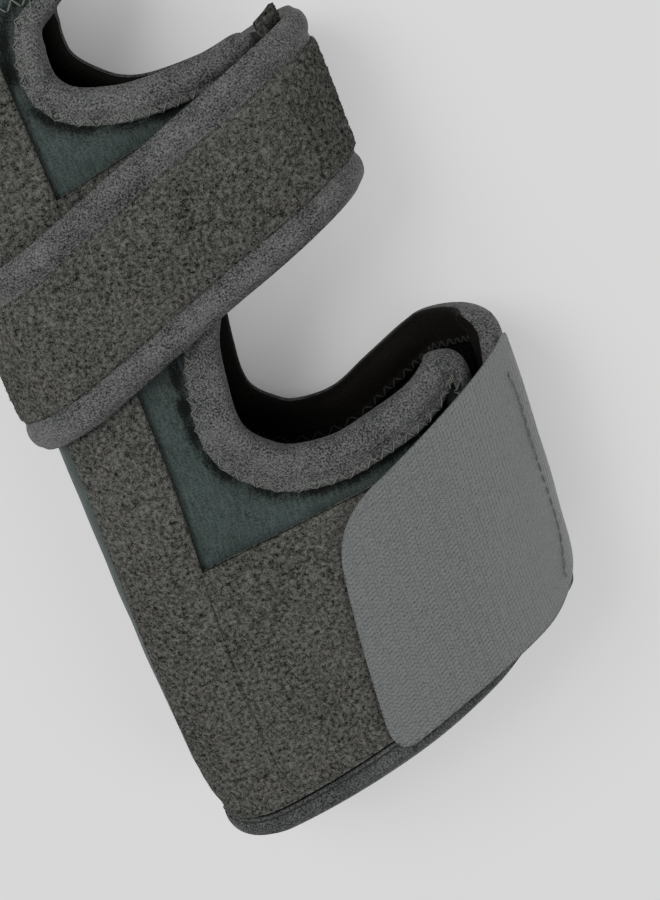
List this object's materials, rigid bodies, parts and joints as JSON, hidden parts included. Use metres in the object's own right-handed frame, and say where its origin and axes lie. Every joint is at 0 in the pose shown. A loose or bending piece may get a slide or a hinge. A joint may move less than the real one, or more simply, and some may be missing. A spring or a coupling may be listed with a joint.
{
  "type": "boxer splint",
  "caption": "Padded hand splint that wraps the wrist, palm and little-finger side, with taped edges, loop panels, a wide woven closing tab and a slanted palm strap.",
  "frame": {"origin": "middle of the bounding box's base, on the surface the splint lies on", "axes": "+Y from the wrist end to the finger end, +X from the little-finger side to the thumb side, +Z out of the front, away from the surface"},
  "size_m": [0.1022, 0.2432, 0.0441],
  "materials": {
    "jersey_foam": "foam with a fine knitted face, matte",
    "knit_tape": "smooth stretch knit tape, matte",
    "loop_pile": "brushed loop pile, matte",
    "hook_weave": "herringbone-woven tape, slight sheen",
    "hem_tape": "smooth knit tape, matte"
  },
  "bodies": {
    "root": {"sleeve": "jersey_foam", "thumb_notch_front_binding": "knit_tape", "thumb_notch_back_binding": "knit_tape", "finger_notch_binding": "knit_tape", "wrist_hem_binding": "hem_tape", "finger_end_binding": "hem_tape", "spine_loop_strip": "loop_pile", "wrist_loop_panel": "loop_pile", "palm_loop_panel": "loop_pile", "wrist_hook_tab": "hook_weave", "strap_hook_patch": "hook_weave", "strap_base": "knit_tape", "strap_loop_face": "loop_pile", "strap_upper_binding": "knit_tape", "strap_lower_binding": "knit_tape"}
  },
  "joints": []
}
